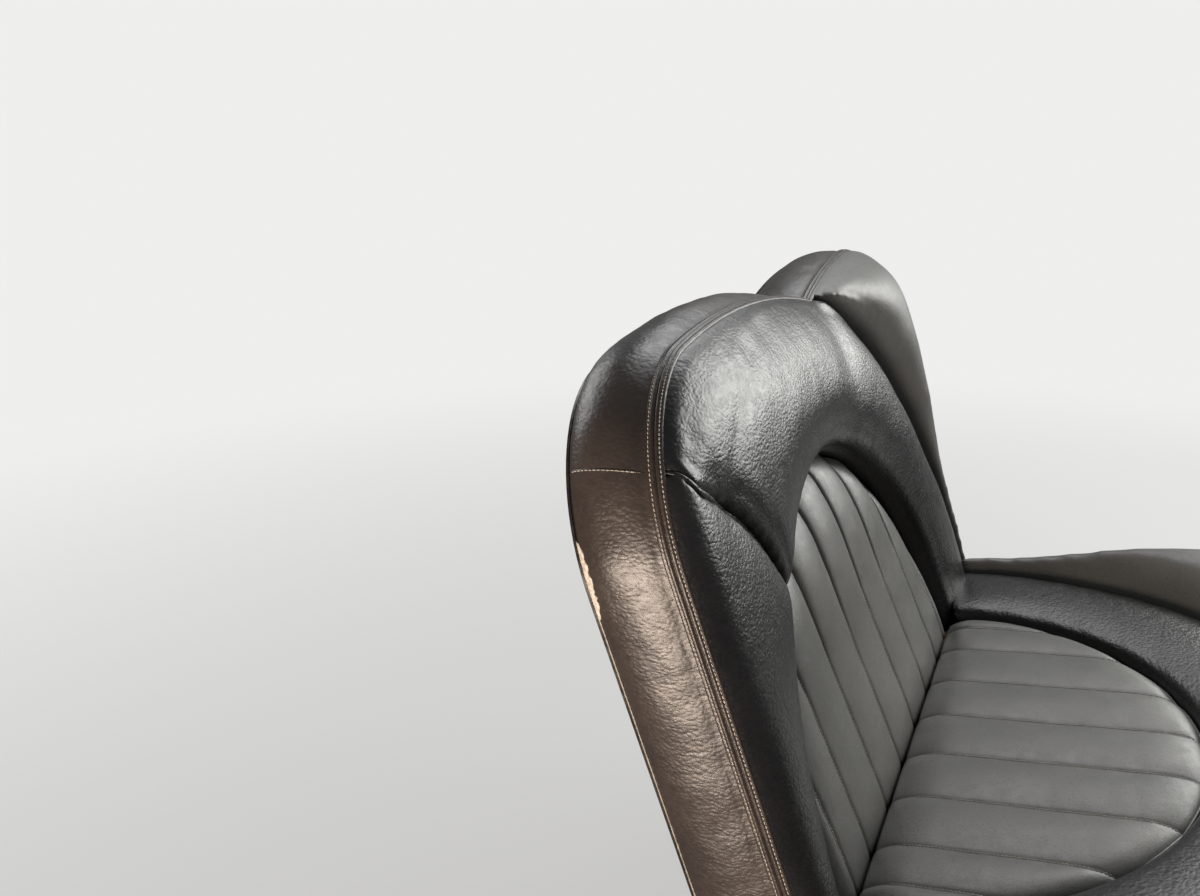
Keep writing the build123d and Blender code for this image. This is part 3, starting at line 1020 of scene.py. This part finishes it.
def band_profile(rear, roll, seam_angle, bulge):
    """(outward, level) pairs of a soft band from the rear edge to the front seam, and back inside."""
    outer = [(0.0, level) for level in np.linspace(rear, -roll, FOAM_STEPS)]
    for angle in np.linspace(0, seam_angle, ROLL_STEPS)[1:]:
        outer.append((-roll * (1 - math.cos(angle)), -roll + roll * math.sin(angle)))
    outer = np.array(outer)
    length = run_length(outer)
    share = np.clip(length / (length[-1] - 0.010), 0, 1)
    outer[:, 0] += bulge * np.sin(math.pi * share**0.85) ** 0.7
    inside = -BAND_THICKNESS - 0.001
    inner = [(inside, outer[-1, 1] - 0.002), (inside, rear + 0.001)]
    return np.vstack((outer, inner)), len(outer)


def top_bulge(length):
    """How much fuller the backrest's band is round its aisle corner and hump, by length along its edge."""
    return 0.009 * bump_shape((length - 0.63) / 0.12) * (1 - bump_shape((length - 1.15) / 0.20))


def band_wave(count, extra=None):
    """Short puckers square to the seam and soft dents over the first points of the band's profile."""
    def wave(length, profile):
        share = run_length(profile[:count])
        along = np.repeat(length, count)
        over = np.tile(share / share[-1], len(length))
        pucker = ripple(np.column_stack((along, over * 0.05)), 95.0, seed=5.0, detail=2)
        soft = ripple(np.column_stack((along, over * 0.12)), 22.0, seed=15.0, detail=2)
        near = np.exp(-(1 - over) / 0.25) + 0.25 * np.exp(-over / 0.2)
        value = np.sqrt(np.sin(math.pi * over)) * (0.0006 * pucker * near + 0.0010 * soft)
        if extra is not None:
            arch = np.sin(math.pi * np.clip(over * 1.12, 0, 1)) ** 0.8
            value = value + np.repeat(extra(length), count) * arch
        out = np.zeros((len(length), len(profile)))
        out[:, :count] = value.reshape(len(length), count)
        return out
    return wave


def sewn_band(name, node, outline, rear, edge, bulge, end, material, extra=None):
    """A band between a board and its padding, cut off where it meets the other half of the bench."""
    roll, seam_angle, axes = edge
    profile, count = band_profile(rear, roll, seam_angle, bulge)
    piece = sweep(name, outline, profile, axes, band_wave(count, extra))
    rework(piece.data, cut(*end))
    finish_piece(piece, material, [node])
    return piece


band = sewn_band(
    "back_boxing", "back_band", back_outline(BACK_LOW, LINE_STEP), BACK_REAR, BACK_EDGE, BACK_BULGE,
    (SEAT_AXES, LEVEL, DECK_TOP + DECK_GAP), BAND_LEATHER_PAINTED_SHEEN, top_bulge)
sewn_band(
    "seat_boxing", "cushion_band", cushion_outline(SEAT_LOW, LINE_STEP), CUSHION_BOTTOM, SEAT_EDGE, SEAT_BULGE,
    (BACK_AXES, LEVEL, BACK_GAP), BLACK_LEATHER)


# Seam strips with two rows of stitching
STRIP_PROFILE = (
    (-0.0095, -0.0012), (-0.0080, 0.0003), (-0.0064, 0.0010), (-0.0052, 0.0002), (-0.0040, 0.0014),
    (-0.0024, 0.0019), (-0.0010, 0.0012), (0.0, -0.0010), (0.0010, 0.0012), (0.0024, 0.0019),
    (0.0040, 0.0014), (0.0052, 0.0002), (0.0064, 0.0010), (0.0080, 0.0003), (0.0095, -0.0012),
)
STITCH_ROWS = (-0.0052, 0.0052)
STITCH_PITCH = 0.0046
STITCH_LENGTH = 0.0036
STITCH_RADIUS = 0.00055


def roll_point(along, height, roll):
    """A point on the rolled edge: so far along it from the start of the roll, and so high above it."""
    if along < 0:
        return height, -roll + along
    angle = along / roll
    return (
        -roll * (1 - math.cos(angle)) + height * math.cos(angle),
        -roll + roll * math.sin(angle) + height * math.sin(angle),
    )


def seam_profile(roll, seam_angle):
    top = [roll_point(roll * seam_angle + x, h, roll) for x, h in STRIP_PROFILE]
    under = [roll_point(roll * seam_angle + x, -0.003, roll) for x in (0.0088, -0.0088)]
    return top + under


def stitch_shape():
    """One stitch lying along X: a thread that arches up and dives at both ends."""
    sides, rings = 6, 6
    verts = []
    for ring in range(rings):
        share = ring / (rings - 1) * 2 - 1
        size = STITCH_RADIUS * math.sqrt(max(0.04, 1 - share**6))
        rise = 0.0005 * (1 - share**2) - 0.00025
        for side in range(sides):
            angle = 2 * math.pi * side / sides
            verts.append((share * STITCH_LENGTH / 2, size * math.cos(angle), rise + size * math.sin(angle)))
    return np.array(verts), roll_faces(rings, sides)


def stitches(name, path, up, material, pitch=STITCH_PITCH):
    """Stitches along a line of points, each lying in its surface, as one joined mesh."""
    shape, faces = stitch_shape()
    length = run_length(path)
    marks = np.arange(pitch / 2, length[-1], pitch)
    along = unit(read_off(marks + 0.001, length, path) - read_off(marks - 0.001, length, path))
    rise = read_off(marks, length, up)
    rise = unit(rise - along * (rise * along).sum(1)[:, None])
    turned_axes = np.stack((along, np.cross(rise, along), rise), axis=1)
    verts = read_off(marks, length, path)[:, None] + shape @ turned_axes
    starts = range(0, len(marks) * len(shape), len(shape))
    many = [tuple(start + vert for vert in face) for start in starts for face in faces]
    finish_piece(mesh_object(name, verts.reshape(-1, 3), many), material)


def seam_with_stitches(name, outline, low, roll, seam_angle, axes, material):
    """The double-stitched seam between a band and its padding, along the outline past its low ends."""
    points, normals = (rows[outline[0][:, 1] > low] for rows in outline)
    finish_piece(sweep(name, (points, normals), seam_profile(roll, seam_angle), axes), material)

    def line(along, height):
        out, level = roll_point(roll * seam_angle + along, height, roll)
        return place(at_level(points + out * normals, level), axes)

    for number, x in enumerate(STITCH_ROWS):
        path = line(x, 0.0009)
        stitches(f"{name}_thread_{number}", path, (line(x, 0.0109) - path) / 0.01, THREAD)


seam_with_stitches("back_seam", back_outline(-0.035, 0.002), -0.03, *BACK_EDGE, BAND_LEATHER_PAINTED_SHEEN)
seam_with_stitches("seat_seam", cushion_outline(0.0, 0.002), 0.004, *SEAT_EDGE, BLACK_LEATHER)


# Folded lips along the sewn seams, and the seam across the aisle band
def oval_points(centre, half_width, height, start, end):
    """Flat points along part of an oval, given in half turns."""
    count = round(math.pi * (start - end) * max(half_width, height) / LINE_STEP)
    angle = np.linspace(math.pi * start, math.pi * end, count)
    return np.array(centre) + np.column_stack((half_width * np.cos(angle), height * np.sin(angle)))


def rim_lip(name, piece, height, axes, width, depth, sink):
    """A thin fold along an insert's curved edge, laid on its face."""
    flat = oval_points((PANEL_CENTRE, 0), INSERT_HALF_WIDTH - 0.002, height - 0.002, 0.98, 0.02)
    path, ups = (smooth_line(rows) for rows in lay_line(surface_of([piece]), flat, axes))
    ups = unit(ups)
    finish_piece(tube(name, path - ups * sink, ups, width, depth), GREY_LEATHER)


def seam_side(line, way, gap=0.008):
    """Rays at the pad just to one side of the leg seam: square to it inside, along the edge near that."""
    length, inset = along_edge(line, BACK_LINE)
    here, out = from_edge(length, inset, BACK_LINE)
    beside, _ = from_edge(length + way * gap, inset, BACK_LINE)
    ray = unit(line - np.array(LEG_SEAM[:2]))
    inner = bump_shape(inset / 0.05)[:, None]
    flat = slid(line + (1 - inner) * (beside - here) + inner * way * gap * ray)
    lean = np.clip((BACK_ROLL - inset) / BACK_ROLL, 0, 1)
    rise = np.sqrt(1 - lean**2)
    facing = at_level(out * lean[:, None], rise)
    return aimed_at(at_level(flat, BACK_ROLL * (rise - 1)), facing)


def aimed_at(spots, facing):
    """Starts and directions of rays that come down on spots of the backrest from outside."""
    return place(spots + RAY_HEIGHT * facing, BACK_AXES), CREASE - place(facing, BACK_AXES)


def leg_seam_welt():
    """A thin sewn welt where leg and crown meet: nearly flush by the front seam, deep at the insert."""
    line = oval_points(LEG_SEAM[:2], LEG_SEAM[2], LEG_SEAM[2], 0.5, 0.0)
    inset, _ = edge_distance(line, BACK_LINE)
    used = (inset > 0.0018) & (outside_insert(line) > -0.006)
    line, inset = line[used], inset[used]
    trees = surface_of([leg, crown])
    low, low_up, low_hit = cast(trees, *seam_side(line, -1))
    high, high_up, high_hit = cast(trees, *seam_side(line, 1))
    both = low_hit & high_hit
    path = smooth_line((low[both[low_hit]] + high[both[high_hit]]) / 2, 4)
    ups = unit(low_up[both[low_hit]] + high_up[both[high_hit]])
    sink = 0.0016 + 0.0080 * bump_shape((inset[both] - 0.03) / 0.09)
    size = 0.0026 + 0.0016 * bump_shape((inset[both] - 0.01) / 0.06)
    piece = tube("leg_seam_welt", path - ups * sink[:, None], ups, size, size * 0.8)
    finish_piece(piece, BLACK_LEATHER)


leg_seam_welt()
rim_lip("insert_rim", back_insert, BACK_INSERT_HEIGHT, BACK_AXES, 0.0022, 0.0020, 0.0002)
rim_lip("seat_insert_rim", seat_insert, CUSHION_INSERT_DEPTH, SEAT_AXES, 0.0020, 0.0016, 0.0004)


def band_crossing(low, high, lift, lean=0.20):
    """A slanted line over the backrest's band on its aisle side, where the leg seam meets it."""
    level = np.arange(low, high, LINE_STEP)
    length = SEAM_START + SEAM_SLIDE + lean * (high - level)
    edge, out = from_edge(length, 0 * level, BACK_LINE)
    path, ups, _ = cast(surface_of([band]), *aimed_at(at_level(edge, level), at_level(out, 0.0)), lift)
    return path, ups


path, ups = band_crossing(-0.112, -0.037, -0.0004)
finish_piece(tube("band_cross_seam", path, ups, 0.0014, 0.0012), BAND_LEATHER_PAINTED_SHEEN)
path, ups = band_crossing(-0.108, -0.040, 0.0007)
stitches("band_cross_thread", path, ups, THREAD)


# Thread in the inserts' seams
FLUTE_STITCH_PITCH = 0.0042


def flute_thread(name, piece, height, axes, low, high_gap):
    """A row of stitches in every seam of an insert, from a height to just under the rim."""
    trees = surface_of([piece])
    for number, mark in enumerate(flute_marks()[1:-1]):
        top = height * math.sqrt(1 - (mark / INSERT_HALF_WIDTH) ** 2)
        along = np.arange(low, top - high_gap, LINE_STEP)
        flat = np.column_stack((np.full(len(along), mark + PANEL_CENTRE), along))
        path, ups = lay_line(trees, flat, axes, 0.0006)
        stitches(f"{name}_{number}", path, ups, GREY_THREAD, FLUTE_STITCH_PITCH)


flute_thread("back_flute_thread", back_insert, BACK_INSERT_HEIGHT, BACK_AXES, 0.012, 0.010)
flute_thread("seat_flute_thread", seat_insert, CUSHION_INSERT_DEPTH, SEAT_AXES, 0.030, 0.008)


# Wear along the band's rear edge, and a pale line along it that is a painted highlight
def rear_edge_line(start, end, out, level):
    """Points just off the band's rear edge on the aisle side, between two heights up the slope."""
    points, normals = back_outline(BACK_LOW, LINE_STEP)
    used = (points[:, 0] < -0.3) & (points[:, 1] > start) & (points[:, 1] < end)
    points, normals = points[used], normals[used]
    path = place(at_level(points + out * normals, level), BACK_AXES)
    return path, place(at_level(normals, 0.0), BACK_AXES) - CREASE


# A thin pale roll along the rear edge: a painted highlight of the edge catching light, not wear.
path, ups = rear_edge_line(-0.11, 0.375, 0.0012, BACK_REAR + 0.0006)
finish_piece(tube("painted_highlight_line", path, ups, 0.0009, 0.0008), PAINTED_EDGE_HIGHLIGHT)


def worn_patch(steps=7):
    """A strip along the rear edge where the dark finish has rubbed off, ragged and narrow at its ends."""
    path, ups = rear_edge_line(0.362, 0.443, 0.0, BACK_REAR)
    length = run_length(path)
    rough = ripple(np.outer(length, (1, 0)), 160.0, seed=51.0, detail=3)
    wide = 0.0085 * np.sin(math.pi * length / length[-1]) ** 0.35 * (1 + 0.35 * rough)
    wide[0] = wide[-1] = 0.0006
    parts = [step / (steps - 1) for step in range(steps)]
    above = [(part, 0.0007 * math.sin(math.pi * part) ** 0.4 + 0.0001) for part in parts]
    below = [(part, -0.0008) for part in reversed(parts)]
    verts = []
    for at, up, width in zip(path, ups, wide):
        for part, lift in above + below:
            bulge = BACK_BULGE * math.sin(math.pi * min(1, width * part / 0.088) ** 0.85) ** 0.6
            verts.append(at + BACK_AXES[2] * (width * part - 0.0004) + up * (bulge + lift))
    piece = mesh_object("worn_edge_patch", np.array(verts), roll_faces(len(path), 2 * steps))
    finish_piece(piece, WORN)


worn_patch()


# Bolts in the straps and tacks round the rear cover
STRAP_X = 0.280
STRAP_THICKNESS = 0.005
STRAP_BEND = (0.1692, 0.2074)
BOLTS_BELOW_BEND = (0.045, 0.120)
BOLTS_ABOVE_BEND = (0.110, 0.200, 0.290)
COVER_LEVEL = -0.118
TACK_INSET = 0.018
TACK_PITCH = 0.060


def turned(profile, sides, at, axis):
    """Vertices of a solid of revolution along an axis; profile is (radius, height) pairs."""
    side = np.cross(axis, (1.0, 0.0, 0.0))
    side /= np.linalg.norm(side)
    other = np.cross(axis, side)
    turn = np.arange(sides)[:, None] / sides * 2 * math.pi
    ring = np.cos(turn) * side + np.sin(turn) * other
    return np.concatenate([at + radius * ring + height * axis for radius, height in profile])


def fasteners(name, places, shapes, smooth):
    """One joined mesh with every (profile, sides) repeated at every (place, direction)."""
    verts, faces = [], []
    for at, axis in places:
        for profile, sides in shapes:
            start = len(verts)
            verts.extend(turned(profile, sides, at, axis))
            faces += [tuple(start + index for index in face) for face in roll_faces(len(profile), sides)]
    piece = mesh_object(name, verts, faces)
    finish_piece(piece, BOLT)
    shade(piece, smooth)


WASHER = ((0.0, -0.0005), (0.0110, -0.0005), (0.0112, 0.0010), (0.0106, 0.0016), (0.0, 0.0016))
HEX_HEAD = ((0.0, 0.0014), (0.0075, 0.0014), (0.0075, 0.0058), (0.0066, 0.0070), (0.0, 0.0070))
TACK = (
    (0.0, -0.0004), (0.0058, -0.0004), (0.0056, 0.0012), (0.0042, 0.0024), (0.0020, 0.0031), (0.0, 0.0033),
)

outward, up_slope = -BACK_AXES[2], BACK_AXES[1]
rearward = np.array((0.0, 1.0, 0.0))
bolt_places = []
for x in (-STRAP_X, STRAP_X):
    bend = np.array((x, *STRAP_BEND))
    for drop in BOLTS_BELOW_BEND:
        bolt_places.append((bend + np.array((0, STRAP_THICKNESS, -drop)), rearward))
    for rise in BOLTS_ABOVE_BEND:
        bolt_places.append((bend + up_slope * rise + outward * STRAP_THICKNESS, outward))
fasteners("strap_bolts", bolt_places, ((WASHER, 32), (HEX_HEAD, 6)), False)

points, normals = back_outline(-0.085, 0.004)
inner = points - TACK_INSET * normals
length = run_length(inner)
flat = read_off(np.arange(0.01, length[-1], TACK_PITCH), length, inner)
tack_places = [(spot, outward) for spot in place(at_level(flat, COVER_LEVEL), BACK_AXES)]
fasteners("cover_tacks", tack_places, ((TACK, 20),), True)


# Finishes of the CAD pieces that stay
def dress(nodes, material):
    for node in nodes:
        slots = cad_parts[node].data.materials
        for index in range(len(slots)):
            slots[index] = material
        if not slots:
            slots.append(material)


sides_and_front = ("front", "corner", "aisle", "wall", "rear")
dress([f"riser_{side}_panel" for side in sides_and_front], CARPET)
dress(("riser_rib", "riser_cleats", "seat_deck", "back_board", "cushion_board"), PLYWOOD)
dress(("floor_angle_front", "floor_angle_rear", "back_strap_aisle", "back_strap_wall"), STEEL)
dress(("back_rear_cover",), VINYL)
dress(("back_edge_trim",), TRIM)


# Floor, light and camera
BACKDROP_COLOUR = (0.86, 0.86, 0.85, 1)
FLOOR_COLOUR = (0.42, 0.42, 0.415, 1)
WORLD_STRENGTH = 0.10
GLOSSY_SHARE = 0.12
FLOOR_REACH = 30.0
WIDE_BEAM = math.pi
NARROW_BEAM = math.radians(95)
LIGHTS = (
    ("wall_side_light", (1.6, 1.3), 42, (1.0, 1.0, 0.96), (1.75, -1.05, 1.38), (-0.2, 0.1, 0.65), WIDE_BEAM),
    ("aisle_side_light", (1.1, 0.5), 11, (1.0, 0.82, 0.68), (-1.8, 0.26, 0.38), (-0.5, 0.15, 0.62), NARROW_BEAM),
    ("top_light", (1.5, 1.2), 20, (0.99, 0.99, 1.0), (1.7, 0.35, 2.3), (0, -0.1, 0.4), WIDE_BEAM),
    ("rear_light", (1.6, 1.2), 16, (1.0, 1.0, 1.0), (0.6, 2.2, 1.6), (0, 0.2, 0.4), WIDE_BEAM),
)


def flat_light(name, size, power, colour, at, toward, beam):
    lamp = bpy.data.lights.new(name, "AREA")
    lamp.shape = "RECTANGLE"
    lamp.size, lamp.size_y = size
    lamp.energy = power
    lamp.color = colour
    lamp.spread = beam
    piece = new_object(name, lamp)
    piece.location = at
    piece.rotation_euler = (Vector(toward) - Vector(at)).to_track_quat("-Z", "Y").to_euler()
    piece.visible_camera = False


def show_partly(tree, share, usual, shown, output):
    """Sends a mix of two shaders to an output: the usual one, and a share of the one that is shown."""
    mix = wire(tree, "ShaderNodeMixShader", {"Fac": share, 1: usual, 2: shown})
    connect(tree, tree.nodes[output], {"Surface": mix.outputs["Shader"]})


def plain_backdrop():
    """A pale floor that keeps the shadow near the bench and runs into the backdrop's colour further out."""
    material, tree, main, space = shader("floor")
    connect(tree, main, {"Base Color": FLOOR_COLOUR, "Roughness": 0.7})
    length = wire(tree, "ShaderNodeVectorMath", {0: space}, operation="LENGTH").outputs["Value"]
    ends = {"From Min": 0.6, "From Max": 3.2, "To Min": 0.55, "To Max": 1.0}
    reach = wire(tree, "ShaderNodeMapRange", {"Value": length, **ends}, interpolation_type="SMOOTHSTEP")
    rays = wire(tree, "ShaderNodeLightPath", {}).outputs
    glow = wire(tree, "ShaderNodeEmission", {"Color": BACKDROP_COLOUR, "Strength": 1.0})
    share = calculated(tree, "MULTIPLY", rays["Is Camera Ray"], reach.outputs["Result"])
    show_partly(tree, share, main.outputs["BSDF"], glow.outputs["Emission"], "Material Output")
    return material


def studio_world():
    """Dim, even light from all round, and the pale backdrop, of which gloss shows only a little."""
    world = bpy.data.worlds.new("studio")
    bpy.context.scene.world = world
    world.use_nodes = True
    tree = world.node_tree
    sky = tree.nodes["Background"]
    connect(tree, sky, {"Color": (0.95, 0.97, 1.0, 1), "Strength": WORLD_STRENGTH})
    pale = wire(tree, "ShaderNodeBackground", {"Color": BACKDROP_COLOUR, "Strength": 1.0})
    rays = wire(tree, "ShaderNodeLightPath", {}).outputs
    seen = calculated(tree, "MAXIMUM", rays["Is Camera Ray"], rays["Is Transmission Ray"])
    share = calculated(tree, "MULTIPLY_ADD", rays["Is Glossy Ray"], GLOSSY_SHARE, seen, use_clamp=True)
    show_partly(tree, share, sky.outputs["Background"], pale.outputs["Background"], "World Output")


def stage():
    """The floor, the backdrop and the lamps."""
    mesh = bpy.data.meshes.new("floor")
    corners = [(x * FLOOR_REACH, y * FLOOR_REACH, 0) for x, y in ((-1, -1), (1, -1), (1, 1), (-1, 1))]
    mesh.from_pydata(corners, [], [(0, 1, 2, 3)])
    floor = new_object("floor", mesh)
    floor.location.z = -0.0005
    mesh.materials.append(plain_backdrop())
    studio_world()
    for lamp in LIGHTS:
        flat_light(*lamp)


def make_camera():
    data = bpy.data.cameras.new("camera")
    data.lens = CAMERA_LENS
    data.sensor_width = CAMERA_SENSOR
    data.clip_start, data.clip_end = 0.05, 60
    camera = new_object("camera", data)
    camera.location = CAMERA_PLACE
    camera.rotation_euler = (math.pi / 2 - CAMERA_PITCH, 0, CAMERA_HEADING - math.pi / 2)
    bpy.context.scene.camera = camera


stage()
make_camera()
bpy.context.scene.view_settings.view_transform = "Standard"
